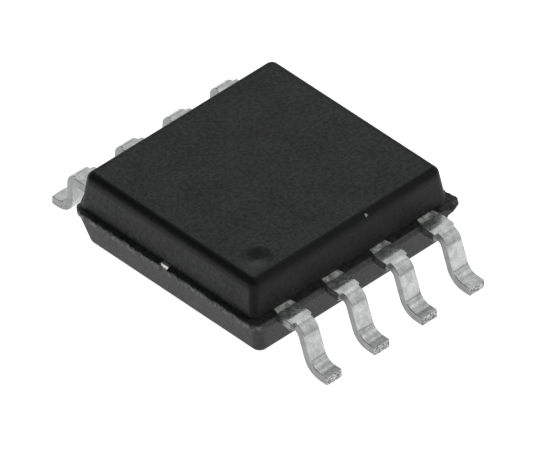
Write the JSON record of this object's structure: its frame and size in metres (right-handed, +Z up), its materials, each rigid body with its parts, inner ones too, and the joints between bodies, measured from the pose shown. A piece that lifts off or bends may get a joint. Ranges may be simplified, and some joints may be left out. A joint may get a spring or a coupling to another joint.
{
  "type": "small-outline surface-mount chip",
  "caption": "Square black moulded chip package with rows of tin-plated gull-wing leads on opposite sides and a round dish beside lead 1.",
  "frame": {"origin": "on the seating plane, under the middle of the body", "axes": "+X along the lead rows from lead 1 to lead 4, +Y from the row of leads 1 to 4 to the row of leads 5 to 8, +Z up out of the top face"},
  "size_m": [0.0056, 0.0078, 0.0019],
  "materials": {
    "moulding_compound": "satin, as moulded",
    "tin_plate": "satin tin plate",
    "frame_alloy": "bare iron-nickel alloy",
    "die_adhesive": "silver-filled, matt",
    "silicon": "polished",
    "gold_wire": "bright drawn wire"
  },
  "bodies": {
    "root": {"moulded_body": "moulding_compound", "die_paddle": "frame_alloy", "die_attach": "die_adhesive", "silicon_die": "silicon", "lead_1": "tin_plate", "lead_2": "tin_plate", "lead_3": "tin_plate", "lead_4": "tin_plate", "lead_5": "tin_plate", "lead_6": "tin_plate", "lead_7": "tin_plate", "lead_8": "tin_plate", "bond_wire_1": "gold_wire", "bond_wire_2": "gold_wire", "bond_wire_3": "gold_wire", "bond_wire_4": "gold_wire", "bond_wire_5": "gold_wire", "bond_wire_6": "gold_wire", "bond_wire_7": "gold_wire", "bond_wire_8": "gold_wire"}
  },
  "joints": []
}
